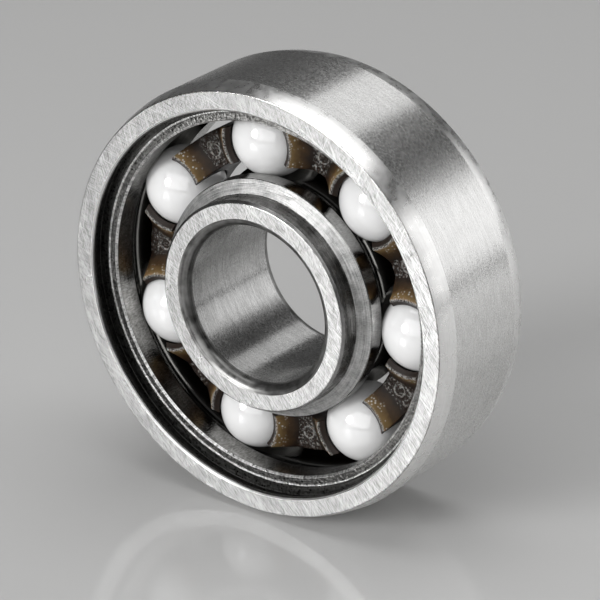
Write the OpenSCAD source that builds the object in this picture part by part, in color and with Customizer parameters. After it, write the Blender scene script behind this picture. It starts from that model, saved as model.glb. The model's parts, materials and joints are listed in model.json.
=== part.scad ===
// Open deep-groove ball bearing with ceramic balls held in a one-piece moulded crown cage.
// The axis is Y, +Z is up, the origin is the bearing's centre and the cage opens towards -Y.
// All lengths are in millimetres.

/* [Bearing] */
// Diameter of the hole through the inner ring
bore_d = 8; // [7.8:0.1:8.2]
// Outside diameter of the outer ring
outer_d = 22; // [21.8:0.1:22.4]
// Width of both rings along the axis
width = 7; // [6.8:0.1:7.4]

/* [Balls] */
// Diameter of each ball
ball_d = 3.969; // [3.9:0.001:4]
// Diameter of the circle that the ball centres lie on
pitch_d = 15; // [14.9:0.05:15.1]
// Angle of the first ball, measured from +X towards +Z
ball_phase = 99.6; // [0:0.1:360]
// Gap between a ball and the bottom of each raceway
race_gap = 0.005; // [0.002:0.001:0.02]
// Raceway groove radius as a share of the ball's diameter
groove_ratio = 0.52; // [0.515:0.005:0.53]

/* [Outer ring] */
// Diameter of the polished land beside the outer raceway
outer_land_d = 17.96; // [17.9:0.02:18.1]
// Diameter at the bottom of the seal groove
seal_groove_d = 19.9; // [19.8:0.05:20]
// Diameter of the lip in front of the seal groove
seal_lip_d = 19.38; // [19.3:0.02:19.5]
// Depth from the face to the wall behind the seal groove
seal_wall_depth = 0.95; // [0.85:0.05:1.05]
// Radial size of the rounded outer corner
outer_corner_r = 0.28; // [0.2:0.02:0.4]
// Axial size of the rounded outer corner
outer_corner_w = 1.05; // [0.8:0.05:1.2]
// Angle of the slight edge where the rounded outer corner meets the rim
outer_corner_edge = 9; // [0:1:9]

/* [Inner ring] */
// Diameter of the polished land beside the inner raceway
inner_land_d = 12.1; // [12:0.02:12.2]
// Diameter of the narrow neck next to the face
neck_d = 10.72; // [10.6:0.02:10.9]
// Depth of the shallow hollow turned into the neck
neck_hollow = 0.07; // [0.04:0.01:0.1]
// Depth from the face to the foot of the sloping wall
neck_depth = 1.03; // [0.9:0.01:1.1]
// Axial rise of the sloping wall up to the land
wall_rise = 0.3; // [0.2:0.02:0.36]
// Radial size of the rounded bore corner
bore_corner_r = 0.45; // [0.35:0.05:0.5]
// Axial size of the rounded bore corner
bore_corner_w = 0.57; // [0.5:0.01:0.65]

/* [Cage] */
// Inside diameter of the cage
cage_inner_d = 13.24; // [13.1:0.02:13.4]
// Outside diameter of the cage
cage_outer_d = 16.8; // [16.6:0.05:16.9]
// Gap between a ball and its pocket
pocket_gap = 0.08; // [0.05:0.01:0.12]
// Height of the floor between two horns, forwards of the ball centres
floor_height = 0.58; // [0.5:0.02:0.7]
// Distance from the ball's centre line to the foot of its horns
horn_foot_r = 2.93; // [2.8:0.01:3]
// Distance from the ball's centre line to the ridge of its horns
horn_ridge_r = 2.02; // [1.95:0.01:2.1]
// Height of the ridge forwards of the ball centres
horn_ridge_height = 1.43; // [1.4:0.01:1.5]
// Height of the pocket's mouth forwards of the ball centres
mouth_height = 1.22; // [1.2:0.01:1.26]
// Distance from the ball centres back to the rear of the cage
cage_rear = 2.5; // [2.4:0.05:2.6]
// Bevel around the two rear edges of the cage
cage_bevel = 0.2; // [0.1:0.05:0.3]

/* [Hidden] */

ball_count = 7;
half_width = width / 2;
ball_r = ball_d / 2;
pitch_r = pitch_d / 2;
race_r = groove_ratio * ball_d;
inner_race_centre = pitch_r - ball_r - race_gap + race_r;
outer_race_centre = pitch_r + ball_r + race_gap - race_r;
pocket_r = ball_r + pocket_gap;
mouth_r = sqrt(pow(pocket_r, 2) - pow(mouth_height, 2));
ridge_flat = 0.06;
lead_in_slope = (horn_ridge_r - ridge_flat - mouth_r) / (horn_ridge_height - mouth_height);
back_slope = (horn_foot_r - horn_ridge_r) / (horn_ridge_height - floor_height);

// small edge breaks of the turned steps
lip_chamfer_r = 0.16;
lip_chamfer_w = 0.2;
lip_back = 0.25;
step_break = 0.1;
wall_step_r = 9.4;
wall_step_w = 0.04;
neck_break = 0.14;
land_break = 0.04;

// how far the cones of the horns and lead-ins run on past the surfaces they cut
cone_overlap = 0.2;

ring_fn = 60;
arc_fn = 48;
ball_fn = 28;
pocket_fn = 36;

steel_colour = [0.72, 0.72, 0.72];
ceramic_colour = [0.95, 0.95, 0.93];
polymer_colour = [0.25, 0.17, 0.09];

// turns a profile of (radius, height towards -Y) into a ring around the Y axis
module turned() {
    rotate([90, 0, 0])
        rotate_extrude($fn = ring_fn)
            children();
}

// a profile that is the same in front of and behind the middle, from its front points
module both_sides(front) {
    count = len(front);
    rear = [for (i = [count - 1:-1:0]) [front[i][0], -front[i][1]]];
    polygon(concat(front, rear));
}

// radius of an arc that takes dr off a wall's radius over a width dw, and that meets the
// wall at an angle of edge degrees, or is tangent to it where edge is 0
function corner_arc(dr, dw, edge) = norm([dr, dw]) / (2 * sin(atan2(dr, dw) - edge));

// what rounds the front and rear corners of a wall takes away; outside is true where
// the wall faces outwards, as on the rim, and false where it faces the axis, as in the bore
module corner_cuts(wall_r, outside, dr, dw, edge = 0) {
    arc = corner_arc(dr, dw, edge);
    centre_r = outside ? wall_r - arc * cos(edge) : wall_r + arc * cos(edge);
    start = half_width - dw;
    for (flip = [0, 1])
        mirror([0, flip, 0])
            difference() {
                translate([outside ? wall_r - dr : wall_r - 1, start])
                    square([1 + dr, dw + 1]);
                translate([centre_r, start - arc * sin(edge)])
                    circle(r = arc, $fn = arc > 1 ? 2 * arc_fn : arc_fn);
            }
}

module outer_ring() {
    land_r = outer_land_d / 2;
    lip_r = seal_lip_d / 2;
    groove_r = seal_groove_d / 2;
    wall = half_width - seal_wall_depth;
    front = [
        [land_r, wall - step_break],
        [land_r + step_break, wall],
        [wall_step_r, wall - wall_step_w],
        [wall_step_r + wall_step_w, wall],
        [groove_r, wall + step_break],
        [groove_r, half_width - lip_chamfer_w - lip_back],
        [lip_r, half_width - lip_chamfer_w],
        [lip_r + lip_chamfer_r, half_width],
        [outer_d / 2, half_width]
    ];
    color(steel_colour)
        turned()
            difference() {
                both_sides(front);
                translate([outer_race_centre, 0])
                    circle(r = race_r, $fn = arc_fn);
                corner_cuts(outer_d / 2, true, outer_corner_r, outer_corner_w, outer_corner_edge);
            }
}

module inner_ring() {
    land_r = inner_land_d / 2;
    neck_r = neck_d / 2;
    foot = half_width - neck_depth;
    front = [
        [land_r, foot - wall_rise - land_break],
        [land_r - land_break, foot - wall_rise],
        [neck_r, foot],
        [neck_r - neck_hollow, foot + 0.3],
        [neck_r - neck_hollow, half_width - 0.5],
        [neck_r, half_width - neck_break],
        [neck_r - neck_break, half_width],
        [bore_d / 2, half_width]
    ];
    color(steel_colour)
        turned()
            difference() {
                both_sides(front);
                translate([inner_race_centre, 0])
                    circle(r = race_r, $fn = arc_fn);
                corner_cuts(bore_d / 2, false, bore_corner_r, bore_corner_w);
            }
}

// puts its children at the centre of ball i, with their own Z axis towards -Y
module at_ball(i) {
    angle = ball_phase + i * 360 / ball_count;
    translate([pitch_r * cos(angle), pitch_r * sin(angle), 0])
        children();
}

// the cage's ring before its pockets and the spaces between its horns are cut
module cage_blank() {
    inner = cage_inner_d / 2;
    outer = cage_outer_d / 2;
    rotate_extrude($fn = 2 * ring_fn)
        polygon([
            [inner + cage_bevel, -cage_rear],
            [outer - cage_bevel, -cage_rear],
            [outer, cage_bevel - cage_rear],
            [outer, horn_ridge_height],
            [inner, horn_ridge_height],
            [inner, cage_bevel - cage_rear]
        ]);
}

// the cone around a ball whose outside is the back of that ball's two horns
module horn_cone() {
    height = horn_ridge_height - floor_height + 2 * cone_overlap;
    translate([0, 0, floor_height - cone_overlap])
        cylinder(h = height,
                 r1 = horn_foot_r + back_slope * cone_overlap,
                 r2 = horn_ridge_r - back_slope * cone_overlap, $fn = 2 * pocket_fn);
}

// everything above the floor that isn't a horn
module horn_gaps() {
    difference() {
        translate([0, 0, floor_height])
            cylinder(h = horn_ridge_height, r = cage_outer_d / 2 + 1, $fn = 2 * ring_fn);
        for (i = [0:ball_count - 1])
            at_ball(i) horn_cone();
    }
}

// a ball's pocket, with the cone that leads the ball in past the horns
module pocket() {
    below = cone_overlap;
    above = 2 * cone_overlap;
    sphere(r = pocket_r, $fn = pocket_fn);
    translate([0, 0, mouth_height - below])
        cylinder(h = horn_ridge_height - mouth_height + below + above,
                 r1 = mouth_r - lead_in_slope * below,
                 r2 = horn_ridge_r - ridge_flat + lead_in_slope * above, $fn = pocket_fn);
}

module cage() {
    color(polymer_colour)
        rotate([90, 0, 0])
            difference() {
                cage_blank();
                horn_gaps();
                for (i = [0:ball_count - 1])
                    at_ball(i) pocket();
            }
}

module ball(i) {
    color(ceramic_colour)
        rotate([90, 0, 0])
            at_ball(i) sphere(r = ball_r, $fn = ball_fn);
}

outer_ring();
inner_ring();
cage();
ball(0);  // ball_1
ball(1);  // ball_2
ball(2);  // ball_3
ball(3);  // ball_4
ball(4);  // ball_5
ball(5);  // ball_6
ball(6);  // ball_7
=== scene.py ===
import json
import math

import bpy
import numpy as np
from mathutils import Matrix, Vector


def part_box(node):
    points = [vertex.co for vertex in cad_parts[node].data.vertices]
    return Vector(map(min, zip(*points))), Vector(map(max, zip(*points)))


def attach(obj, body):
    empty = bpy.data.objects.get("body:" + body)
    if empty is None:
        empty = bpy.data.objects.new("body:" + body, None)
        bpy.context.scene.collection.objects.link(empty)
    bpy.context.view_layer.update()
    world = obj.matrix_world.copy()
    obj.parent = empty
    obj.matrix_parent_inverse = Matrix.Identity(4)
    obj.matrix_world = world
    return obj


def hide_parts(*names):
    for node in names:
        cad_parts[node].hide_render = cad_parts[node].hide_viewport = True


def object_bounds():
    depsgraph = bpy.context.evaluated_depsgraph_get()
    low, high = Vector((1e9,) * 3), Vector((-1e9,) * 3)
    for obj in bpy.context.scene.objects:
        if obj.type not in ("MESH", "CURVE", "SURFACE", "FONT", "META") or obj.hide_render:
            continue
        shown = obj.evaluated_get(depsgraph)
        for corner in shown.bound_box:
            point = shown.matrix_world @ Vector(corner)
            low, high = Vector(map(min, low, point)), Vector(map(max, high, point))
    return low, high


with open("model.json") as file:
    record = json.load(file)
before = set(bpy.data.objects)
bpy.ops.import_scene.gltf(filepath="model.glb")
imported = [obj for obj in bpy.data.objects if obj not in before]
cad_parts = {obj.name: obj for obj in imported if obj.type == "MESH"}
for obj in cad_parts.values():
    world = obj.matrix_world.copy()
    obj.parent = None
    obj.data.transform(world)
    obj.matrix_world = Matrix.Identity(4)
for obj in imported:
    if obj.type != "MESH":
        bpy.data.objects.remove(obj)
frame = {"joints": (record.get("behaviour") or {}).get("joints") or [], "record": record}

CAD_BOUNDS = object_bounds()
MM = 0.001

# ---------------------------------------------------------------------------
# Sizes in millimetres. The radius r is measured from the bearing's axis, which
# is Y, and the height h from its middle towards the front, which faces -Y.
# ---------------------------------------------------------------------------
MOUNT_DIMS = {mount["name"]: mount["dims"] for mount in frame["record"]["mounts"]}
JOINT_PLACES = {joint["name"]: Vector(joint["pos_m"]) / MM for joint in frame["joints"]}

RIM_R = MOUNT_DIMS["outer_seat"]["r_mm"]
BORE_R = MOUNT_DIMS["bore"]["r_mm"]
HALF_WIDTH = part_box("outer_ring")[1].y / MM
BALL_NAMES = [f"ball_{i}" for i in range(1, 8)]
BALL_CENTRES = [JOINT_PLACES[f"{name}_spin"] for name in BALL_NAMES]
PITCH_R = BALL_CENTRES[0].length
BALL_R = 3.969 / 2
RACE_R = 2.064
RACE_GAP = 0.005
INNER_RACE_CENTRE = PITCH_R - BALL_R - RACE_GAP + RACE_R
OUTER_RACE_CENTRE = PITCH_R + BALL_R + RACE_GAP - RACE_R

# outer ring
OUTER_LAND_R = 8.98
SEAL_WALL_H = 2.55
SEAL_STEP_R = 9.40
SEAL_STEP_SIZE = 0.04
GROOVE_R = 9.95
LIP_R = 9.69
LIP_BEVEL_R = 0.16
LIP_BEVEL_H = 0.20
LIP_BACK_H = 0.25
# share of the lip's bevel, next to the face, that gets a near-white base colour as a painted highlight line
EDGE_HIGHLIGHT_SHARE = 0.4
STEP_BREAK = 0.10
OUTER_CORNER_R = 0.28
OUTER_CORNER_H = 1.05
OUTER_CORNER_EDGE = 9.0

# inner ring
INNER_LAND_R = 6.05
NECK_R = 5.36
NECK_FOOT_H = 2.47
NECK_HOLLOW = 0.07
NECK_HOLLOW_FOOT = 0.3
NECK_HOLLOW_TOP = 0.5
NECK_BREAK = 0.14
WALL_TOP_H = 2.17
LAND_BREAK = 0.04
BORE_CORNER_R = 0.45
BORE_CORNER_H = 0.57

# cage
CAGE_INNER_R = 6.62
CAGE_OUTER_R = 8.40
CAGE_REAR_H = -2.50
CAGE_BEVEL = 0.2
POCKET_R = BALL_R + 0.08
FLOOR_H = 0.58
RIDGE_H = 1.43
MOUTH_H = 1.22
HORN_FOOT_R = 2.93
HORN_RIDGE_R = 2.02
LEAD_IN_R = 1.96
HORN_HOLLOW = 0.07
CAGE_ROUNDING = 0.045
# the floor's roughness: direction in degrees, wavelength and phase of each wave
FLOOR_WAVES = [(12, 0.24, 0.3), (77, 0.21, 2.1), (133, 0.27, 4.4), (48, 0.34, 1.2)]
FLOOR_ROUGHNESS = 0.035
EJECTOR_R = 0.25
EJECTOR_DEPTH = 0.03

# the bearing's lowest point, in metres
FLOOR_Z = CAD_BOUNDS[0][2]


# ---------------------------------------------------------------------------
# Camera, with distances in metres and the lens in millimetres
# ---------------------------------------------------------------------------
CAMERA_AZIMUTH = math.radians(36.07)
CAMERA_ELEVATION = math.radians(23.82)
CAMERA_DISTANCE = 0.1628
CAMERA_LENS = 202.2
AIM_RIGHT = 0.00024
AIM_DOWN = 0.00078


def direction(azimuth, elevation):
    """The unit vector from the bearing towards a place given by its angles in radians."""
    return Vector((
        math.sin(azimuth) * math.cos(elevation),
        -math.cos(azimuth) * math.cos(elevation),
        math.sin(elevation),
    ))


def make_camera():
    """A long lens at the front right, above the bearing, aimed just beside its centre."""
    back = direction(CAMERA_AZIMUTH, CAMERA_ELEVATION)
    right = Vector((math.cos(CAMERA_AZIMUTH), math.sin(CAMERA_AZIMUTH), 0))
    up = back.cross(right)
    data = bpy.data.cameras.new("camera")
    data.lens = CAMERA_LENS
    data.sensor_width = 36
    data.clip_start = 0.01
    data.clip_end = 20
    camera = bpy.data.objects.new("camera", data)
    bpy.context.scene.collection.objects.link(camera)
    camera.location = back * CAMERA_DISTANCE
    aim = right * AIM_RIGHT - up * AIM_DOWN
    camera.rotation_euler = (aim - camera.location).to_track_quat("-Z", "Y").to_euler()
    bpy.context.scene.camera = camera


make_camera()


# ---------------------------------------------------------------------------
# Meshes
# ---------------------------------------------------------------------------
def add_mesh(name, points, faces, normals, materials, face_materials=None):
    """A smooth piece from points in millimetres, its faces and an exact normal for each point."""
    mesh = bpy.data.meshes.new(name)
    mesh.from_pydata((np.asarray(points) * MM).tolist(), [], np.asarray(faces).tolist())
    for material in materials:
        mesh.materials.append(material)
    if face_materials is not None:
        mesh.polygons.foreach_set("material_index", np.asarray(face_materials, np.int32))
    mesh.polygons.foreach_set("use_smooth", np.ones(len(mesh.polygons), bool))
    mesh.update()
    mesh.normals_split_custom_set_from_vertices(np.asarray(normals).tolist())
    piece = bpy.data.objects.new(name, mesh)
    bpy.context.scene.collection.objects.link(piece)
    return piece


def stand_in(piece, node):
    """The piece takes the place of its CAD node and moves with the same body."""
    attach(piece, node)
    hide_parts(node)


def unit(v):
    """The vector v made one long."""
    return v / np.linalg.norm(v)


def rounded_section(corners, steps=3):
    """Rounds a closed outline. Each corner is (r, h, radius, finish of the side after it).

    The outline runs so that the material is on its left. Returns the points, their
    outward normals and the finish of the side that follows each point.
    """
    points, normals, finishes = [], [], []
    count = len(corners)
    for i in range(count):
        here = np.array(corners[i][:2])
        before = unit(here - np.array(corners[i - 1][:2]))
        after = unit(np.array(corners[(i + 1) % count][:2]) - here)
        out_before = np.array([before[1], -before[0]])
        out_after = np.array([after[1], -after[0]])
        radius, finish = corners[i][2:]
        turn = math.acos(max(-1.0, min(1.0, float(before @ after))))
        if radius == 0 or turn < 1e-4:
            points.append(here)
            normals.append(unit(out_before + out_after))
            finishes.append(finish)
            continue
        reach = radius * math.tan(turn / 2)
        side = 1 if before[0] * after[1] - before[1] * after[0] > 0 else -1
        start = here - before * reach
        centre = start - side * out_before * radius
        for k in range(steps + 1):
            share = k / steps
            blend = math.sin((1 - share) * turn) * out_before + math.sin(share * turn) * out_after
            normal = unit(blend)
            points.append(centre + side * radius * normal)
            normals.append(normal)
            finishes.append(finish)
    return points, normals, finishes


def arc(centre_r, centre_h, radius, start, end, steps, finish, end_radius=0.0):
    """Corners along an arc, with angles in degrees from +r towards +h; the last corner is left out."""
    angles = np.radians(np.linspace(start, end, steps + 1))[:-1]
    corners = []
    for i, angle in enumerate(angles):
        r = centre_r + radius * math.cos(angle)
        h = centre_h + radius * math.sin(angle)
        corners.append((r, h, end_radius if i == 0 else 0.0, finish))
    return corners


def both_halves(front):
    """The whole closed section from its front half, which starts and ends at h = 0."""
    rear = []
    for i in range(len(front) - 2, 0, -1):
        r, h, radius, _ = front[i]
        rear.append((r, -h, radius, front[i - 1][3]))
    return front + rear


def lathe(name, corners, finishes, segments=288):
    """Turns a section around the Y axis. finishes maps each finish name to its material."""
    points, normals, kinds = rounded_section(corners)
    names = list(finishes)
    section = np.array(points)
    outward = np.array(normals)
    turns = np.arange(segments) * 2 * math.pi / segments
    cos, sin = np.cos(turns)[:, None], np.sin(turns)[:, None]
    ones = np.ones_like(cos)

    def spun(values):
        return np.stack([values[:, 0] * cos, -values[:, 1] * ones, values[:, 0] * sin], -1).reshape(-1, 3)

    rows = len(points)
    row = np.arange(rows)
    nxt = (row + 1) % rows
    index = np.array([names.index(kind) for kind in kinds])
    faces = []
    for s in range(segments):
        a, b = s * rows, (s + 1) % segments * rows
        faces.append(np.stack([a + row, b + row, b + nxt, a + nxt], -1))
    return add_mesh(name, spun(section), np.concatenate(faces), spun(outward),
                    [finishes[n] for n in names], np.tile(index, segments))


# ---------------------------------------------------------------------------
# The rings
# ---------------------------------------------------------------------------
def corner_arc(dr, dh, edge=0.0):
    """Radius and end angle of an arc that takes dr off a wall's radius over a height dh.

    The arc meets the wall at an angle of edge degrees, or is tangent to it where edge is 0.
    """
    turn = math.atan2(dr, dh) - math.radians(edge)
    return math.hypot(dr, dh) / (2 * math.sin(turn)), edge + math.degrees(2 * turn)


def race_half_angle(centre, land_r):
    """Angle, seen from the raceway's centre, at which the raceway meets its land."""
    return math.degrees(math.acos(abs(land_r - centre) / RACE_R))


def outer_ring(finishes):
    """The outer ring, with its rounded corners, lips, seal grooves, lands and raceway."""
    edge = math.radians(OUTER_CORNER_EDGE)
    corner, corner_end = corner_arc(OUTER_CORNER_R, OUTER_CORNER_H, OUTER_CORNER_EDGE)
    race_angle = race_half_angle(OUTER_RACE_CENTRE, OUTER_LAND_R)
    start_h = HALF_WIDTH - OUTER_CORNER_H
    front = [(RIM_R, 0.0, 0.0, "rim")]
    front += arc(RIM_R - corner * math.cos(edge), start_h - corner * math.sin(edge), corner,
                 OUTER_CORNER_EDGE, corner_end, 10, "corner", 0.015)
    front += [
        (RIM_R - OUTER_CORNER_R, HALF_WIDTH, 0.07, "face"),
        (LIP_R + LIP_BEVEL_R, HALF_WIDTH, 0.03, "edge"),
        (LIP_R + LIP_BEVEL_R * (1 - EDGE_HIGHLIGHT_SHARE), HALF_WIDTH - LIP_BEVEL_H * EDGE_HIGHLIGHT_SHARE, 0.02, "lip"),
        (LIP_R, HALF_WIDTH - LIP_BEVEL_H, 0.10, "groove"),
        (GROOVE_R, HALF_WIDTH - LIP_BEVEL_H - LIP_BACK_H, 0.03, "groove"),
        (GROOVE_R, SEAL_WALL_H + STEP_BREAK, 0.03, "groove"),
        (SEAL_STEP_R + STEP_BREAK, SEAL_WALL_H, 0.0, "bead"),
        (SEAL_STEP_R + SEAL_STEP_SIZE, SEAL_WALL_H, 0.02, "bead"),
        (SEAL_STEP_R, SEAL_WALL_H - SEAL_STEP_SIZE, 0.02, "wall"),
        (OUTER_LAND_R + STEP_BREAK, SEAL_WALL_H, 0.02, "bead"),
        (OUTER_LAND_R, SEAL_WALL_H - STEP_BREAK, 0.03, "land"),
    ]
    front += arc(OUTER_RACE_CENTRE, 0, RACE_R, race_angle, 0, 20, "race", 0.03)
    front.append((OUTER_RACE_CENTRE + RACE_R, 0.0, 0.0, "race"))
    return lathe("outer_ring_turned", both_halves(front), finishes)


def inner_ring(finishes):
    """The inner ring, with its bore, hollow necks, sloping walls, lands and raceway."""
    corner, corner_end = corner_arc(BORE_CORNER_R, BORE_CORNER_H)
    race_angle = race_half_angle(INNER_RACE_CENTRE, INNER_LAND_R)
    start_h = HALF_WIDTH - BORE_CORNER_H
    front = [(INNER_RACE_CENTRE - RACE_R, 0.0, 0.0, "race")]
    front += arc(INNER_RACE_CENTRE, 0, RACE_R, 180, 180 - race_angle, 20, "race")[1:]
    front += [
        (INNER_LAND_R, RACE_R * math.sin(math.radians(race_angle)), 0.03, "shoulder"),
        (INNER_LAND_R, WALL_TOP_H - LAND_BREAK, 0.02, "shoulder"),
        (INNER_LAND_R - LAND_BREAK, WALL_TOP_H, 0.02, "slope"),
        (NECK_R, NECK_FOOT_H, 0.04, "neck"),
        (NECK_R - NECK_HOLLOW, NECK_FOOT_H + NECK_HOLLOW_FOOT, 0.15, "neck"),
        (NECK_R - NECK_HOLLOW, HALF_WIDTH - NECK_HOLLOW_TOP, 0.15, "neck"),
        (NECK_R, HALF_WIDTH - NECK_BREAK, 0.03, "lip"),
        (NECK_R - NECK_BREAK, HALF_WIDTH, 0.06, "face"),
        (BORE_R + BORE_CORNER_R, HALF_WIDTH, 0.05, "mouth"),
    ]
    front += arc(BORE_R + corner, start_h, corner, 180 - corner_end, 180, 12, "mouth")[1:]
    front += [
        (BORE_R, start_h, 0.0, "bore"),
        (BORE_R, 0.0, 0.0, "bore"),
    ]
    return lathe("inner_ring_turned", both_halves(front), finishes)


# ---------------------------------------------------------------------------
# The balls
# ---------------------------------------------------------------------------
BALL_CELLS = 24


def ball(name, centre, material):
    """A sphere made from a cube's six gridded sides, so that it has no poles."""
    steps = np.tan(np.linspace(-math.pi / 4, math.pi / 4, BALL_CELLS + 1))
    a, b = np.meshgrid(steps, steps, indexing="ij")
    one = np.ones_like(a)
    places, faces = [], []
    corner = np.arange((BALL_CELLS + 1) ** 2).reshape(BALL_CELLS + 1, -1)
    quads = np.stack([corner[:-1, :-1], corner[1:, :-1], corner[1:, 1:], corner[:-1, 1:]], -1).reshape(-1, 4)
    for axis in range(3):
        for side in (1, -1):
            faces.append(quads + len(places) * corner.size)
            grid = np.stack([one * side, a * side, b], -1)
            places.append(np.roll(grid, axis, -1).reshape(-1, 3))
    points = np.concatenate(places)
    points /= np.linalg.norm(points, axis=1)[:, None]
    unique, back = np.unique(points.round(6), axis=0, return_inverse=True)
    unique /= np.linalg.norm(unique, axis=1)[:, None]
    joined = back.reshape(-1)[np.concatenate(faces)]
    return add_mesh(name, unique * BALL_R + np.array(centre), joined, unique, [material])


# ---------------------------------------------------------------------------
# The cage: a smooth distance function, meshed one seventh at a time
# ---------------------------------------------------------------------------
CELLS_ROUND = 128
FINE_CELL = 0.04
COARSE_CELL = 0.08


def smooth_max(a, b, rounding=CAGE_ROUNDING):
    """The larger of two distances, with the edge between the two surfaces rounded."""
    blend = np.clip(0.5 + 0.5 * (a - b) / rounding, 0, 1)
    return b + (a - b) * blend + rounding * blend * (1 - blend)


def smooth_min(a, b, rounding=CAGE_ROUNDING):
    """The smaller of two distances, with the edge between the two surfaces rounded."""
    return -smooth_max(-a, -b, rounding)


def floor_place(p):
    """Radial and tangential distance from the middle of the nearest floor between two horns."""
    turn = np.arctan2(p[..., 1], p[..., 0])
    radius = np.hypot(p[..., 0], p[..., 1])
    off = np.abs(turn) - math.pi / len(BALL_NAMES)
    return radius * np.cos(off) - PITCH_R, radius * np.sin(off) * np.sign(turn)


def floor_relief(p):
    """Height of the spark-eroded floor above its mean, with a round ejector mark in its middle."""
    radial, tangent = floor_place(p)
    relief = 0.0
    for turn, length, phase in FLOOR_WAVES:
        angle = math.radians(turn)
        along = radial * math.cos(angle) + tangent * math.sin(angle)
        relief = relief + np.sin(2 * math.pi * along / length + phase + 1.7 * np.sin(9 * tangent - 5 * radial))
    out = np.hypot(radial, tangent)
    mark = np.exp(-((out - EJECTOR_R) / 0.04) ** 2)
    return FLOOR_ROUGHNESS * relief / len(FLOOR_WAVES) - EJECTOR_DEPTH * mark


def cage_distance(p):
    """Signed distance to the cage near the ball on the +x axis; p holds x, y and height h."""
    x, y, h = p[..., 0], p[..., 1], p[..., 2]
    r = np.hypot(x, y)
    rho = np.hypot(x - PITCH_R, y)
    middle = (CAGE_INNER_R + CAGE_OUTER_R) / 2
    beside = np.abs(r - middle) - (CAGE_OUTER_R - CAGE_INNER_R) / 2
    behind = CAGE_REAR_H - h
    bevel = (beside + behind + CAGE_BEVEL) / math.sqrt(2)
    band = smooth_max(smooth_max(beside, behind), bevel)

    rise = (h - FLOOR_H) / (RIDGE_H - FLOOR_H)
    slope = (HORN_FOOT_R - HORN_RIDGE_R) / (RIDGE_H - FLOOR_H)
    hollow = HORN_HOLLOW * np.sin(math.pi * np.clip(rise, 0, 1))
    back_r = HORN_FOOT_R - slope * (h - FLOOR_H) - hollow
    horn_back = (rho - back_r) / math.hypot(1, slope)
    horn = smooth_max(horn_back, h - RIDGE_H, 0.03)
    top = smooth_min(h - FLOOR_H - floor_relief(p), horn, 0.04)

    mouth_r = math.sqrt(POCKET_R ** 2 - MOUTH_H ** 2)
    lead_slope = (LEAD_IN_R - mouth_r) / (RIDGE_H - MOUTH_H)
    pocket = POCKET_R - np.sqrt(rho ** 2 + h ** 2)
    lead_in = (mouth_r + lead_slope * (h - MOUTH_H) - rho) / math.hypot(1, lead_slope)
    hole = smooth_max(pocket, lead_in, 0.03)
    return smooth_max(smooth_max(band, top), hole)


def cage_slope(p, step=1e-3):
    """Gradient of the cage's distance."""
    parts = []
    for axis in range(3):
        offset = np.zeros(3)
        offset[axis] = step
        parts.append((cage_distance(p + offset) - cage_distance(p - offset)) / (2 * step))
    return np.stack(parts, -1)


def cell_corners(values):
    """The values at the eight corners of every cell; the first axis closes on itself."""
    found = []
    for i in (0, 1):
        ring = np.roll(values, -i, 0)
        for j in (0, 1):
            for k in (0, 1):
                found.append(ring[:, j:ring.shape[1] - 1 + j, k:ring.shape[2] - 1 + k])
    return found


def cage_sector():
    """Samples one seventh of the cage. Returns which samples are inside, and the surface points."""
    sector = 2 * math.pi / len(BALL_NAMES)
    turns = -sector / 2 + (np.arange(CELLS_ROUND) + 0.5) * sector / CELLS_ROUND
    radii = np.arange(CAGE_INNER_R - 0.10, CAGE_OUTER_R + 0.12, FINE_CELL)
    heights = np.concatenate([
        np.arange(CAGE_REAR_H - 0.12, FLOOR_H - 0.2, COARSE_CELL),
        np.arange(FLOOR_H - 0.18, RIDGE_H + 0.10, FINE_CELL),
    ])
    turn, radius, height = np.meshgrid(turns, radii, heights, indexing="ij")
    samples = np.stack([radius * np.cos(turn), radius * np.sin(turn), height], -1)
    values = cage_distance(samples)
    inside = values < 0

    corners_in = np.stack(cell_corners(inside))
    crossed = corners_in.any(0) & ~corners_in.all(0)
    weights = np.stack(cell_corners(1 / (np.abs(values) + 0.004)))
    turn_corners = np.stack(cell_corners(turn))
    turn_corners[4:, -1] += sector
    place = []
    for grid in (turn_corners, np.stack(cell_corners(radius)), np.stack(cell_corners(height))):
        place.append(((grid * weights).sum(0) / weights.sum(0))[crossed])
    points = np.stack([place[1] * np.cos(place[0]), place[1] * np.sin(place[0]), place[2]], -1)
    for _ in range(6):
        slope = cage_slope(points)
        points -= slope * (cage_distance(points) / (slope ** 2).sum(-1))[:, None]
    return inside, crossed, points


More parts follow.
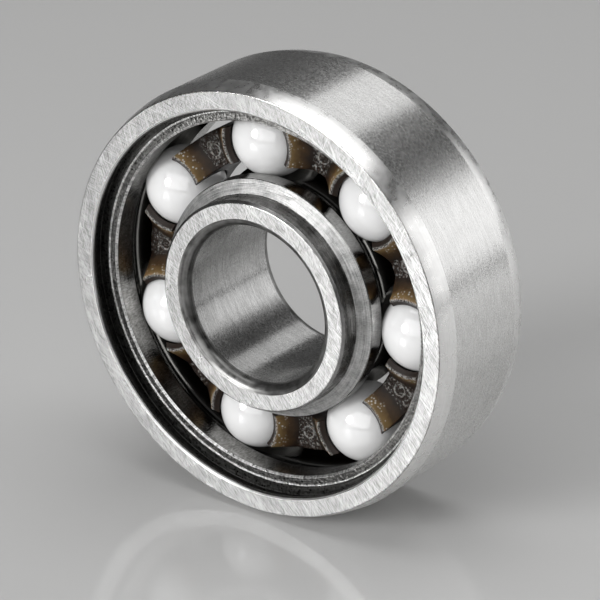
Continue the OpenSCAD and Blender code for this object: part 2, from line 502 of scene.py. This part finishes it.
def cage(material):
    """Seven equal sectors joined into one closed ring."""
    inside, crossed, points = cage_sector()
    count = len(points)
    slopes = cage_slope(points)
    outward = slopes / np.linalg.norm(slopes, axis=1)[:, None]
    local = np.full(crossed.shape, -1)
    local[crossed] = np.arange(count)
    sectors = len(BALL_NAMES)
    solid = np.concatenate([inside] * sectors)
    ids = np.concatenate([np.where(local < 0, -1, local + s * count) for s in range(sectors)])

    faces = []
    before = np.roll(ids, 1, 0)
    # each edge of the grid that crosses the surface gives one face between its four cells
    changed = solid != np.roll(solid, -1, 0)
    edge = changed[:, 1:-1, 1:-1]
    ring = [ids[:, :-1, :-1], ids[:, 1:, :-1], ids[:, 1:, 1:], ids[:, :-1, 1:]]
    faces.append(oriented(ring, edge, solid[:, 1:-1, 1:-1]))
    edge = (solid[:, :-1] != solid[:, 1:])[:, :, 1:-1]
    ring = [before[:, :, :-1], before[:, :, 1:], ids[:, :, 1:], ids[:, :, :-1]]
    faces.append(oriented(ring, edge, solid[:, :-1, 1:-1]))
    edge = (solid[:, :, :-1] != solid[:, :, 1:])[:, 1:-1]
    ring = [before[:, :-1], ids[:, :-1], ids[:, 1:], before[:, 1:]]
    faces.append(oriented(ring, edge, solid[:, 1:-1, :-1]))

    places, normals = [], []
    for centre in BALL_CENTRES:
        cos, sin = centre.x / PITCH_R, centre.z / PITCH_R
        for values, kept in ((points, places), (outward, normals)):
            x = values[:, 0] * cos - values[:, 1] * sin
            z = values[:, 0] * sin + values[:, 1] * cos
            kept.append(np.stack([x, -values[:, 2], z], -1))
    piece = add_mesh("cage_moulded", np.concatenate(places), np.concatenate(faces),
                     np.concatenate(normals), [material])
    pattern = piece.data.attributes.new("moulding", "FLOAT_VECTOR", "POINT")
    radial, tangent = floor_place(points)
    rho = np.hypot(points[:, 0] - PITCH_R, points[:, 1])
    flat = np.stack([radial, tangent, rho], -1)
    pattern.data.foreach_set("vector", np.tile(flat, (sectors, 1)).ravel())
    return piece


def oriented(ring, edge, starts_inside):
    """The faces around the crossing edges, turned so that each one faces out of the material."""
    quads = np.stack([corner[edge] for corner in ring], -1)
    flip = starts_inside[edge]
    quads[flip] = quads[flip][:, ::-1]
    return quads


# ---------------------------------------------------------------------------
# Materials. Every texture works in millimetres, in the object's own frame.
# ---------------------------------------------------------------------------
class Finish:
    """A node material under construction, with the Principled shader's sockets set by name."""

    def __init__(self, name, settings):
        self.material = bpy.data.materials.new(name)
        self.material.use_nodes = True
        self.nodes = self.material.node_tree.nodes
        self.links = self.material.node_tree.links
        self.shader = self.nodes["Principled BSDF"]
        for socket, value in settings.items():
            self.shader.inputs[socket].default_value = value
        place = self.nodes.new("ShaderNodeTexCoord").outputs["Object"]
        self.mm = self.vector("SCALE", place, scale=1 / MM)
        x, y, z = self.split(self.mm)
        self.x, self.y, self.z = x, y, z
        squares = self.math("ADD", self.math("MULTIPLY", x, x), self.math("MULTIPLY", z, z))
        self.r = self.math("SQRT", squares)
        self.along = self.math("ADD", self.r, y)

    def feed(self, socket, value):
        """Links another node's output to a socket, or sets the socket to a plain value."""
        if isinstance(value, bpy.types.NodeSocket):
            self.links.new(value, socket)
        else:
            socket.default_value = value

    def math(self, operation, *values):
        """The result of an operation on numbers."""
        node = self.nodes.new("ShaderNodeMath")
        node.operation = operation
        for socket, value in zip(node.inputs, values):
            self.feed(socket, value)
        return node.outputs[0]

    def vector(self, operation, a, b=None, scale=None):
        """The result of an operation on vectors, which is a number for a dot product or a length."""
        node = self.nodes.new("ShaderNodeVectorMath")
        node.operation = operation
        self.feed(node.inputs[0], a)
        if b is not None:
            self.feed(node.inputs[1], b)
        if scale is not None:
            self.feed(node.inputs["Scale"], scale)
        return node.outputs["Value" if operation in ("DOT_PRODUCT", "LENGTH") else "Vector"]

    def split(self, vector):
        """The x, y and z of a vector."""
        node = self.nodes.new("ShaderNodeSeparateXYZ")
        self.feed(node.inputs[0], vector)
        return node.outputs[0], node.outputs[1], node.outputs[2]

    def join(self, x, y, z):
        """A vector from its x, y and z."""
        node = self.nodes.new("ShaderNodeCombineXYZ")
        for socket, value in zip(node.inputs, (x, y, z)):
            self.feed(socket, value)
        return node.outputs[0]

    def noise(self, vector, scale=1.0, detail=2.0, roughness=0.5):
        """Soft random values, mostly between 0.3 and 0.7."""
        node = self.nodes.new("ShaderNodeTexNoise")
        self.feed(node.inputs["Vector"], vector)
        node.inputs["Scale"].default_value = scale
        node.inputs["Detail"].default_value = detail
        node.inputs["Roughness"].default_value = roughness
        return node.outputs[0]

    def remap(self, value, low, high, to_low=0.0, to_high=1.0):
        """Stretches the range from low to high over the new range, and holds the ends."""
        node = self.nodes.new("ShaderNodeMapRange")
        for socket, number in zip(node.inputs, (value, low, high, to_low, to_high)):
            self.feed(socket, number)
        return node.outputs[0]

    def most(self, *values):
        """The largest of several values."""
        result = values[0]
        for value in values[1:]:
            result = self.math("MAXIMUM", result, value)
        return result

    def product(self, *values):
        """Several values multiplied together."""
        result = values[0]
        for value in values[1:]:
            result = self.math("MULTIPLY", result, value)
        return result

    def blend(self, share, a, b):
        """Colour a where share is 0 and colour b where it is 1."""
        node = self.nodes.new("ShaderNodeMix")
        node.data_type = "RGBA"
        self.feed(node.inputs[0], share)
        for socket, colour in ((node.inputs[6], a), (node.inputs[7], b)):
            self.feed(socket, colour)
        return node.outputs[2]

    def total(self, *layers):
        """The sum of (value, amount) layers."""
        result = 0.0
        for value, amount in layers:
            result = self.math("MULTIPLY_ADD", value, amount, result)
        return result

    def bump(self, height, depth):
        """Raises the surface by depth millimetres where height is 1."""
        node = self.nodes.new("ShaderNodeBump")
        node.inputs["Distance"].default_value = depth * MM
        self.feed(node.inputs["Height"], height)
        self.links.new(node.outputs[0], self.shader.inputs["Normal"])

    def set(self, socket, value):
        """Gives the shader's own socket a plain value or a node's output."""
        self.feed(self.shader.inputs[socket], value)

    def hoops(self, width, length, detail=2.0, seed=0.0):
        """Fine lines that run round the axis, as turning and grinding leave them."""
        place = self.join(
            self.math("DIVIDE", self.x, length),
            self.math("MULTIPLY_ADD", self.along, 1 / width, seed),
            self.math("DIVIDE", self.z, length),
        )
        return self.noise(place, detail=detail)

    def spokes(self, width, length, detail=1.0, seed=0.0):
        """Short marks across the turning direction, width millimetres apart at the raceways."""
        share = PITCH_R / width
        place = self.join(
            self.math("MULTIPLY", self.math("DIVIDE", self.x, self.r), share),
            self.math("MULTIPLY_ADD", self.along, 1 / length, seed),
            self.math("MULTIPLY", self.math("DIVIDE", self.z, self.r), share),
        )
        return self.noise(place, detail=detail)

    def scratches(self, angle, width, length, bend=0.0, seed=0.0):
        """Straight or gently curved lines across the faces, at an angle in degrees from +X to +Z."""
        cos, sin = math.cos(math.radians(angle)), math.sin(math.radians(angle))
        along = self.vector("DOT_PRODUCT", self.mm, (cos, 0, sin))
        across = self.vector("DOT_PRODUCT", self.mm, (-sin, 0, cos))
        curved = self.math("MULTIPLY_ADD", self.math("MULTIPLY", along, along), bend, across)
        place = self.join(
            self.math("DIVIDE", along, length),
            self.math("DIVIDE", curved, width),
            self.math("MULTIPLY_ADD", self.y, 0.5, seed),
        )
        return self.noise(place, detail=1.0)

    def turned_highlights(self, amount):
        """Highlights drawn out across the turning marks."""
        node = self.nodes.new("ShaderNodeTangent")
        node.direction_type = "RADIAL"
        node.axis = "Y"
        self.links.new(node.outputs[0], self.shader.inputs["Tangent"])
        self.shader.inputs["Anisotropic"].default_value = amount
        self.shader.inputs["Anisotropic Rotation"].default_value = 0.25


POLYMER_ROOT = (0.016, 0.010, 0.007, 1)
POLYMER_MIDDLE = (0.060, 0.034, 0.015, 1)
POLYMER_TIP = (0.21, 0.138, 0.058, 1)
# pale colour of the painted glints on the cage
POLYMER_GLINT_PAINT = (0.58, 0.57, 0.54, 1)


def grey(value, warmth=0.0):
    """A nearly neutral colour; warmth takes a little blue away."""
    return (value, value * (1 - 0.25 * warmth), value * (1 - warmth), 1.0)


def ground_face():
    """Flat ground faces: short crossing scratches, light and dark, over a soft mottle."""
    finish = Finish("ground_face", {"Metallic": 1.0, "Roughness": 0.25})
    light = finish.most(
        finish.remap(finish.scratches(127, 0.032, 0.90, 0.012, 1.3), 0.55, 0.68),
        finish.remap(finish.scratches(150, 0.032, 0.60, -0.015, 7.1), 0.57, 0.70),
        finish.remap(finish.scratches(101, 0.032, 0.75, 0.020, 12.7), 0.57, 0.70),
    )
    dark = finish.most(
        finish.remap(finish.scratches(122, 0.034, 0.70, 0.012, 31.0), 0.45, 0.31),
        finish.remap(finish.scratches(141, 0.034, 0.55, -0.020, 38.0), 0.43, 0.30),
        finish.remap(finish.scratches(78, 0.034, 0.50, 0.020, 44.0), 0.41, 0.29),
    )
    long_marks = finish.most(
        finish.remap(finish.scratches(116, 0.09, 4.0, 0.010, 21.0), 0.66, 0.71),
        finish.remap(finish.scratches(143, 0.09, 4.5, -0.020, 33.0), 0.66, 0.71),
        finish.remap(finish.scratches(84, 0.09, 3.5, 0.015, 45.0), 0.67, 0.72),
    )
    patches = finish.noise(finish.mm, scale=0.7, detail=3)
    lines = finish.total((light, 0.5), (dark, -0.5))
    tone = finish.total((lines, 1.15), (patches, 0.25), (long_marks, 0.4), (1.0, 0.42))
    finish.set("Base Color", finish.blend(tone, grey(0.22, 0.015), grey(0.86, 0.008)))
    finish.set("Roughness", finish.remap(patches, 0.3, 0.7, 0.22, 0.28))
    finish.bump(finish.total((light, 0.7), (dark, -0.9), (long_marks, 0.6)), 0.0013)
    return finish.material


def ground_cylinder(name, tone_low, tone_high):
    """Ground walls, such as the rim and the bore: short fine dashes round the axis."""
    finish = Finish(name, {"Metallic": 1.0, "Roughness": 0.26})
    finish.turned_highlights(0.75)
    dashes = finish.remap(finish.hoops(0.050, 0.16, detail=1.0, seed=2.0), 0.34, 0.66)
    threads = finish.remap(finish.hoops(0.030, 1.2, detail=1.0, seed=5.0), 0.34, 0.66)
    mottle = finish.remap(finish.noise(finish.mm, scale=1.6, detail=4, roughness=0.65), 0.3, 0.7)
    pits = finish.remap(finish.noise(finish.mm, scale=5.0, detail=0), 0.80, 0.85)
    tone = finish.total((dashes, 0.34), (threads, 0.46), (mottle, 0.20), (pits, -0.5))
    finish.set("Base Color", finish.blend(tone, grey(tone_low, 0.02), grey(tone_high, 0.012)))
    finish.set("Roughness", finish.remap(dashes, 0, 1, 0.23, 0.31))
    finish.bump(finish.total((dashes, 0.8), (threads, 0.4), (pits, -0.6)), 0.0016)
    return finish.material


def turned_wall(name, tone_low, tone_high, chatter, depth, warmth=0.14):
    """Steps left as turned: rough rings crossed by short chatter marks."""
    finish = Finish(name, {"Metallic": 1.0, "Roughness": 0.4})
    rings = finish.remap(finish.hoops(0.06, 1.2, seed=9.0), 0.35, 0.65)
    marks = finish.remap(finish.spokes(0.10, 0.20, seed=4.0), 0.38, 0.62)
    grain = finish.remap(finish.noise(finish.mm, scale=9.0, detail=2), 0.35, 0.65)
    tone = finish.total((rings, 0.5 - 0.25 * chatter), (marks, 0.45 * chatter), (grain, 0.3))
    finish.set("Base Color", finish.blend(tone, grey(tone_low, warmth), grey(tone_high, warmth / 2)))
    finish.set("Roughness", finish.remap(grain, 0, 1, 0.26, 0.42))
    finish.bump(finish.total((rings, 0.5), (marks, chatter), (grain, 0.5)), depth)
    return finish.material


def fine_turned(name, tone_low, tone_high, roughness, depth, chatter=0.0, warmth=0.05):
    """Smooth walls with light turning lines: lands, necks, lips and corners."""
    finish = Finish(name, {"Metallic": 1.0, "Roughness": roughness})
    finish.turned_highlights(0.5)
    rings = finish.remap(finish.hoops(0.045, 2.0, seed=14.0), 0.35, 0.65)
    marks = finish.remap(finish.spokes(0.060, 0.22, detail=1.0, seed=8.0), 0.35, 0.65)
    mottle = finish.remap(finish.noise(finish.mm, scale=2.2, detail=3), 0.3, 0.7)
    shade = finish.total((rings, 0.45 - chatter * 0.2), (marks, chatter * 0.5), (mottle, 0.4))
    finish.set("Base Color", finish.blend(shade, grey(tone_low, warmth), grey(tone_high, warmth / 2)))
    finish.set("Roughness", finish.remap(mottle, 0, 1, roughness * 0.8, roughness * 1.2))
    finish.bump(finish.total((rings, 1.0), (marks, chatter)), depth)
    return finish.material


def white_ceramic():
    """Polished white zirconia: a bright gloss over a slightly translucent body."""
    finish = Finish("white_ceramic", {
        "Roughness": 0.06, "IOR": 2.0, "Subsurface Weight": 0.8, "Subsurface Scale": 0.0009,
        "Subsurface Radius": (1.0, 1.0, 1.0),
    })
    cloud = finish.noise(finish.mm, scale=0.8, detail=2)
    pits = finish.remap(finish.noise(finish.mm, scale=3.2, detail=0), 0.885, 0.91)
    body = finish.blend(cloud, grey(0.96, 0.012), grey(0.99, 0.008))
    finish.set("Base Color", finish.blend(pits, body, grey(0.35, 0.1)))
    finish.set("Roughness", finish.remap(finish.noise(finish.mm, scale=3.0, detail=3), 0.3, 0.7, 0.03, 0.09))
    finish.bump(finish.noise(finish.mm, scale=1.6, detail=1), 0.0008)
    return finish.material


def brown_polymer():
    """Moulded brown cage: nearly black in the body and golden where the horns get thin, with painted glints
    near the tips, on the ridges and on the floor.
    """
    finish = Finish("brown_polymer", {
        "Roughness": 0.4, "IOR": 1.45, "Specular IOR Level": 0.25,
        "Subsurface Weight": 0.1, "Subsurface Scale": 0.0002,
    })
    height = finish.math("MULTIPLY", finish.y, -1.0)
    place = finish.nodes.new("ShaderNodeAttribute")
    place.attribute_name = "moulding"
    radial, tangent, rho = finish.split(place.outputs["Vector"])
    haze = finish.noise(finish.mm, scale=2.2, detail=3)
    grain = finish.noise(finish.mm, scale=16.0, detail=2)

    # the horn's back: a dark root, a brown middle and a golden tip
    on_back = finish.remap(rho, HORN_RIDGE_R - 0.05, HORN_RIDGE_R + 0.02)
    rise = finish.remap(height, FLOOR_H, RIDGE_H)
    thin = finish.math("MULTIPLY", on_back, finish.total((rise, 1.0), (haze, 0.5), (1.0, -0.25)))
    middle = finish.blend(finish.remap(thin, 0.15, 0.55), POLYMER_ROOT, POLYMER_MIDDLE)
    body = finish.blend(finish.remap(thin, 0.50, 0.95), middle, POLYMER_TIP)

    # painted glints: small pale specks in the base colour, thickest near the tips
    dots = finish.nodes.new("ShaderNodeTexVoronoi")
    finish.feed(dots.inputs["Vector"], finish.mm)
    dots.inputs["Scale"].default_value = 6.5
    dot = finish.remap(dots.outputs["Distance"], 0.36, 0.22)
    sparse = finish.remap(finish.noise(finish.mm, scale=2.2, detail=1), 0.42, 0.52)
    painted_glint = finish.product(dot, sparse, finish.remap(thin, 0.45, 0.85))

    # the rough floor between two horns, with its round mark, and the flat ridge of each horn; the pale patches
    # on the floor and on the mark's ring, and the pale line along each ridge, are painted glints
    level = finish.math("ABSOLUTE", finish.math("SUBTRACT", height, FLOOR_H))
    out = finish.vector("LENGTH", finish.join(radial, tangent, 0.0))
    floor = finish.product(finish.math("LESS_THAN", level, 0.08), finish.remap(out, 1.0, 0.7))
    spark = finish.noise(finish.mm, scale=8.0, detail=3, roughness=0.65)
    mark = finish.remap(finish.math("ABSOLUTE", finish.math("SUBTRACT", out, EJECTOR_R + 0.05)), 0.06, 0.02)
    floor_painted_glints = finish.product(floor, finish.most(
        finish.remap(spark, 0.52, 0.66),
        finish.product(mark, finish.remap(spark, 0.36, 0.54)),
    ))
    ridge = finish.remap(height, RIDGE_H - 0.07, RIDGE_H - 0.01)
    ridge_painted_glint = finish.product(ridge, finish.remap(grain, 0.42, 0.6))
    # painted glints: the pale colour goes where the floor, the specks and the ridges catch highlights
    pale = finish.most(finish.product(floor_painted_glints, 0.45), painted_glint, finish.product(ridge_painted_glint, 0.6))
    finish.set("Base Color", finish.blend(pale, body, POLYMER_GLINT_PAINT))
    finish.set("Roughness", finish.remap(finish.total((haze, 0.6), (grain, 0.4)), 0.35, 0.65, 0.30, 0.48))
    finish.bump(finish.total(
        (grain, 0.15), (painted_glint, 0.6), (finish.product(floor, spark), 4.0), (finish.product(ridge, grain), 0.8),
    ), 0.014)
    return finish.material


def floor_material():
    """A plain pale studio floor."""
    finish = Finish("pale_floor", {"Roughness": 0.11, "IOR": 1.5})
    finish.set("Base Color", grey(0.58, 0.01))
    return finish.material


# ---------------------------------------------------------------------------
# The object
# ---------------------------------------------------------------------------
FACE = ground_face()
RIM = ground_cylinder("ground_rim", 0.58, 0.88)
BORE = ground_cylinder("ground_bore", 0.26, 0.66)
# painted shade: a very dark base colour for the seal wall inside the outer ring stands in for the shade and
# dark reflections there; its brown tint is partly oil and partly a painted reflection of the cage
WALL_SHADE_PAINTED = turned_wall("turned_wall", 0.04, 0.36, 0.9, 0.012, 0.08)
BEAD = turned_wall("turned_edge", 0.30, 1.0, 1.0, 0.010, 0.03)
# painted shade: a near-black base colour for the seal groove stands in for the shade in the recess; its brown
# tint is partly oil and partly a painted reflection of the cage
GROOVE_SHADE_PAINTED = turned_wall("turned_groove", 0.02, 0.10, 0.2, 0.004, 0.10)
SLOPE = fine_turned("turned_slope", 0.18, 0.80, 0.40, 0.010, chatter=0.4, warmth=0.02)
NECK = fine_turned("turned_neck", 0.10, 0.42, 0.26, 0.005)
# partly painted highlight: the band's turn away from the rim is real geometry, and its paler base than the
# rim's makes it read as a lighter band
CORNER_LIGHT_PAINTED = fine_turned("ground_corner", 0.80, 0.96, 0.30, 0.001, warmth=0.02)
LIP = fine_turned("turned_lip", 0.16, 0.46, 0.22, 0.003, warmth=0.03)
# painted highlight: a near-white base colour on the lip's bevel next to the face stands in for the bright edge
# line
EDGE_HIGHLIGHT_PAINT = fine_turned("burnished_edge", 0.90, 1.0, 0.35, 0.001, warmth=0.01)
MOUTH = fine_turned("bore_mouth", 0.06, 0.42, 0.34, 0.004)
LAND = fine_turned("polished_land", 0.10, 0.42, 0.2, 0.003, chatter=1.0, warmth=0.08)
SHOULDER = fine_turned("mirror_land", 0.22, 0.54, 0.10, 0.0015, chatter=0.7, warmth=0.03)
RACE = fine_turned("polished_race", 0.20, 0.34, 0.08, 0.0005, warmth=0.10)
CERAMIC = white_ceramic()
POLYMER = brown_polymer()

RING_FINISHES = {
    "rim": RIM, "bore": BORE, "face": FACE, "corner": CORNER_LIGHT_PAINTED, "edge": EDGE_HIGHLIGHT_PAINT, "lip": LIP, "mouth": MOUTH,
    "bead": BEAD, "groove": GROOVE_SHADE_PAINTED, "wall": WALL_SHADE_PAINTED, "slope": SLOPE, "neck": NECK, "land": LAND, "race": RACE,
    "shoulder": SHOULDER,
}


def only(*names):
    """The ring finishes that one ring uses."""
    return {name: RING_FINISHES[name] for name in names}


outer_piece = outer_ring(only("rim", "corner", "face", "edge", "lip", "groove", "wall", "bead", "land", "race"))
stand_in(outer_piece, "outer_ring")
inner_piece = inner_ring(only("bore", "mouth", "face", "lip", "neck", "slope", "shoulder", "race"))
stand_in(inner_piece, "inner_ring")
stand_in(cage(POLYMER), "cage")
for ball_name, ball_centre in zip(BALL_NAMES, BALL_CENTRES):
    stand_in(ball(f"{ball_name}_ceramic", ball_centre, CERAMIC), ball_name)


# ---------------------------------------------------------------------------
# Floor and light, in metres
# ---------------------------------------------------------------------------
def make_floor():
    """A wide flat sheet that the bearing's rim rests on."""
    reach = 3.0
    mesh = bpy.data.meshes.new("floor")
    corners = [(x * reach, y * reach, FLOOR_Z) for x, y in ((-1, -1), (1, -1), (1, 1), (-1, 1))]
    mesh.from_pydata(corners, [], [(0, 1, 2, 3)])
    mesh.materials.append(floor_material())
    floor = bpy.data.objects.new("floor", mesh)
    bpy.context.scene.collection.objects.link(floor)


def softbox(name, place, width, height, power, shape="RECTANGLE"):
    """A flat light that faces the bearing and isn't seen by the camera."""
    data = bpy.data.lights.new(name, "AREA")
    data.shape = shape
    data.size = width
    data.size_y = height
    data.energy = power
    light = bpy.data.objects.new(name, data)
    light.location = place
    towards_bearing = Vector((0, 0, 0)) - Vector(place)
    light.rotation_euler = towards_bearing.to_track_quat("-Z", "Y").to_euler()
    light.visible_camera = False
    bpy.context.scene.collection.objects.link(light)


def make_world(strength):
    """An even white surround."""
    world = bpy.data.worlds.new("studio")
    world.use_nodes = True
    background = world.node_tree.nodes["Background"]
    background.inputs["Color"].default_value = (1, 1, 1, 1)
    background.inputs["Strength"].default_value = strength
    bpy.context.scene.world = world


make_floor()
make_world(0.07)
# name, place, width, height and power of each light
softbox("back_right", (0.278, 0.269, 0.100), 0.60, 0.20, 0.43)
softbox("side_right", (0.312, 0.115, 0.218), 0.17, 0.09, 0.072)
softbox("back_high", (-0.07, 0.334, 0.293), 0.16, 0.14, 0.085)
softbox("key", (-0.200, -0.510, 0.173), 0.2, 0.2, 1.7, "DISK")
softbox("front", (0.099, -0.95, 0.45), 1.4, 0.8, 5.0)
softbox("overhead", (0, 0, 0.3), 0.3, 0.3, 0.52)
bpy.context.scene.view_settings.view_transform = "Standard"
